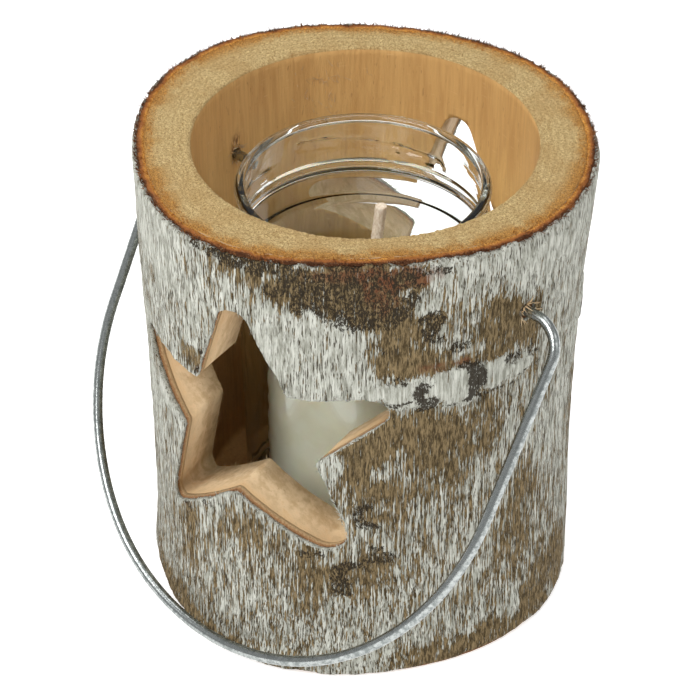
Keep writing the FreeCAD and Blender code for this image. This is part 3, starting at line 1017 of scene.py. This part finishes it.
def build_jar(material):
    low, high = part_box("glass_jar")
    centre = ((low.x + high.x) / 2, (low.y + high.y) / 2)
    turn = np.degrees(ANGLES[::3])
    count = len(turn)
    lug_span, lug_start, lug_top, lug_bottom, lug_rise = 80.0, 169.0, 7.5, 12.6, 1.4
    points = long_runs_split(jar_section(), 1.2)
    rim_at = max(range(len(points)), key=lambda k: points[k].y)
    sections = []
    for k, point in enumerate(points):
        radius = np.full(count, point.x)
        drop = JAR_HEIGHT / MM - point.y
        neck = 4.0 < drop < 16.0
        if neck:
            share = ((lug_start - turn) % 90.0) / lug_span
            middle = lug_top + np.clip(share, 0, 1) * (lug_bottom - lug_top)
            ends = ramp(share, -0.01, 0.07) * (1 - ramp(share, 0.93, 1.01))
            bulge = np.sqrt(np.clip(1 - ((drop - middle) / 1.35) ** 2, 0, 1)) * ends
            side = 1.0 if k < rim_at else 0.6
            radius = radius + lug_rise * side * bulge
        if drop < 19.0 and k < rim_at:
            radius = radius + 0.14 * (np.abs((turn - SEAM_ANGLE + 90) % 180 - 90) < 1.0)
        sections.append(ring(radius * MM, low.z + point.y * MM, centre, np.radians(turn)))
    return loft("screw_neck_jar", sections, materials=[material])


# ------------ candle

def build_candle(material):
    """The pillar: a rounded foot, a straight side, a rounded shoulder and a slightly dished top."""
    low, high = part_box("candle_wax")
    centre = ((low.x + high.x) / 2, (low.y + high.y) / 2)
    radius = (high.x - low.x) / 2
    angle = ANGLES[::4]
    turn = angle / (2 * math.pi)
    edge = 1.4 * MM
    line = [(radius * share, low.z) for share in (0.4, 0.8, 0.96)]
    for a in np.linspace(0.3, math.pi / 2, 5):
        line.append((radius - edge * (1 - math.sin(a)), low.z + edge * (1 - math.cos(a))))
    line += [(radius, z) for z in np.linspace(low.z + 2 * edge, high.z - 2 * edge, 40)]
    for a in np.linspace(0, math.pi / 2, 6):
        line.append((radius - edge * (1 - math.cos(a)), high.z - edge * (1 - math.sin(a))))
    for share in (0.9, 0.75, 0.55, 0.35, 0.2, 0.1):
        line.append((radius * share, high.z - 0.5 * MM * (1 - share) ** 2))
    sections = []
    for reach, z in line:
        uneven = (layered_noise(turn, np.full(len(turn), z / (30 * MM)), 9, 3, 91, 3) - 0.5) * 0.35 * MM
        sections.append(ring(reach + uneven * min(1.0, reach / radius), z, centre, angle))
    return loft("pillar_candle", sections, materials=[material])


def build_wick(material):
    """The wick above and inside the wax, with the crossing strands of its braid."""
    low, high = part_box("candle_wick")
    wax_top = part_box("candle_wax")[1].z
    width = 1.75 * MM
    root = np.array([low.x + width, low.y + width, low.z])
    tip = np.array([high.x - width, high.y - width, high.z])
    angle = np.linspace(0, 2 * math.pi, 32, endpoint=False)
    sections = []
    rows = 150
    for j in range(rows + 4):
        share = min(j, rows) / rows
        z = low.z + (high.z - low.z) * share
        lean = max(0.0, (z - wax_top) / (high.z - wax_top))
        middle = root[:2] + (tip[:2] - root[:2]) * lean
        strands = np.sin(4 * angle + z / (0.9 * MM)) * np.sin(4 * angle - z / (0.9 * MM))
        closing = (1.0, 0.93, 0.7, 0.35)[max(0, j - rows)]
        r = (width - 0.1 * MM + 0.1 * MM * strands) * closing
        top = z + (0.12 * MM if j > rows else 0.0)
        sections.append(ring(r, top, middle, angle))
    return loft("braided_wick", sections, materials=[material])


# ------------ bail

def build_bail(material):
    """The CAD wire with its left leg bent in by LEG_BEND, which narrows the loop on that side."""
    mesh = frame["nodes"]["bail_wire"].data.copy()
    mesh.materials.clear()
    mesh.materials.append(material)
    points = np.array([v.co for v in mesh.vertices])
    aside = ramp(-points[:, 0], 20 * MM, 68 * MM)
    below = ramp(PIVOT[2] - points[:, 2], 2 * MM, 22 * MM)
    points[:, 0] += LEG_BEND * aside * below
    mesh.vertices.foreach_set("co", points.ravel())
    mesh.update()
    bail = bpy.data.objects.new("galvanised_bail", mesh)
    bpy.context.scene.collection.objects.link(bail)
    return bail


# ------------ stage

def build_stage():
    reach = FLOOR_REACH
    verts = [(-reach, -reach, 0), (reach, -reach, 0), (reach, reach, 0), (-reach, reach, 0)]
    floor = new_object("floor", verts, [(0, 1, 2, 3)], materials=[floor_material()])


def area_light(name, azimuth, elevation, distance, size, power):
    """A square white lamp aimed at the log's middle. Azimuth is counted as for the camera."""
    data = bpy.data.lights.new(name, "AREA")
    data.size = size
    data.energy = power
    lamp = bpy.data.objects.new(name, data)
    a, e = math.radians(azimuth), math.radians(elevation)
    place = Vector((math.sin(a) * math.cos(e), -math.cos(a) * math.cos(e), math.sin(e))) * distance
    lamp.location = place + Vector((0, 0, LAMP_AIM))
    lamp.rotation_euler = (-place).to_track_quat("-Z", "Y").to_euler()
    bpy.context.scene.collection.objects.link(lamp)


def build_lights():
    world = bpy.data.worlds.new("studio")
    world.use_nodes = True
    world.node_tree.nodes["Background"].inputs["Color"].default_value = (1, 1, 1, 1)
    world.node_tree.nodes["Background"].inputs["Strength"].default_value = WORLD_LIGHT
    bpy.context.scene.world = world
    for name, turn, elevation, distance, size, power in LAMPS:
        area_light(name, VIEW_AZIMUTH + turn, elevation, distance, size, power)


def build_camera():
    azimuth, elevation = math.radians(VIEW_AZIMUTH), math.radians(VIEW_ELEVATION)
    right = Vector((math.cos(azimuth), math.sin(azimuth), 0))
    back = Vector((math.sin(azimuth), -math.cos(azimuth), 0))
    target = right * VIEW_ACROSS + Vector((0, 0, VIEW_HEIGHT))
    away = back * math.cos(elevation) + Vector((0, 0, math.sin(elevation)))
    camera = bpy.data.objects.new("camera", bpy.data.cameras.new("camera"))
    camera.data.lens = LENS
    camera.location = target + away * VIEW_DISTANCE
    camera.rotation_euler = (math.pi / 2 - elevation, 0, azimuth)
    bpy.context.scene.collection.objects.link(camera)
    bpy.context.scene.camera = camera


# ------------ assembly

def stand_in(piece, node, body):
    """A detailed piece that takes the place of one CAD node."""
    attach(piece, body)
    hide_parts(node)


def add_on(piece, body):
    """A detail that rides with a body and takes no CAD node's place."""
    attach(piece, body)


def refinish(node, material):
    """A CAD node whose shape is right keeps it and gets a better material."""
    thing = frame["nodes"][node]
    for item in thing.material_slots:
        item.material = material


bark = build_outer_bark()
stand_in(bark, "outer_bark", "log")
bast = build_inner_bark()
stand_in(bast, "inner_bark", "log")
wood = build_wood()
stand_in(wood, "wood_body", "log")
add_on(build_splinters(wood.data.materials[SAWN]), "log")
add_on(build_fray(bark.data.materials[0]), "log")
add_on(build_rim_fibres(bast.data.materials[0]), "log")
stand_in(build_jar(glass_material()), "glass_jar", "jar")
stand_in(build_candle(wax_material()), "candle_wax", "candle")
stand_in(build_wick(wick_material()), "candle_wick", "candle")
stand_in(build_bail(wire_material()), "bail_wire", "bail")
refinish("wick_sustainer", tin_material())
build_stage()
build_lights()
build_camera()
bpy.context.scene.view_settings.view_transform = "Standard"
bpy.context.scene.cycles.use_denoising = True
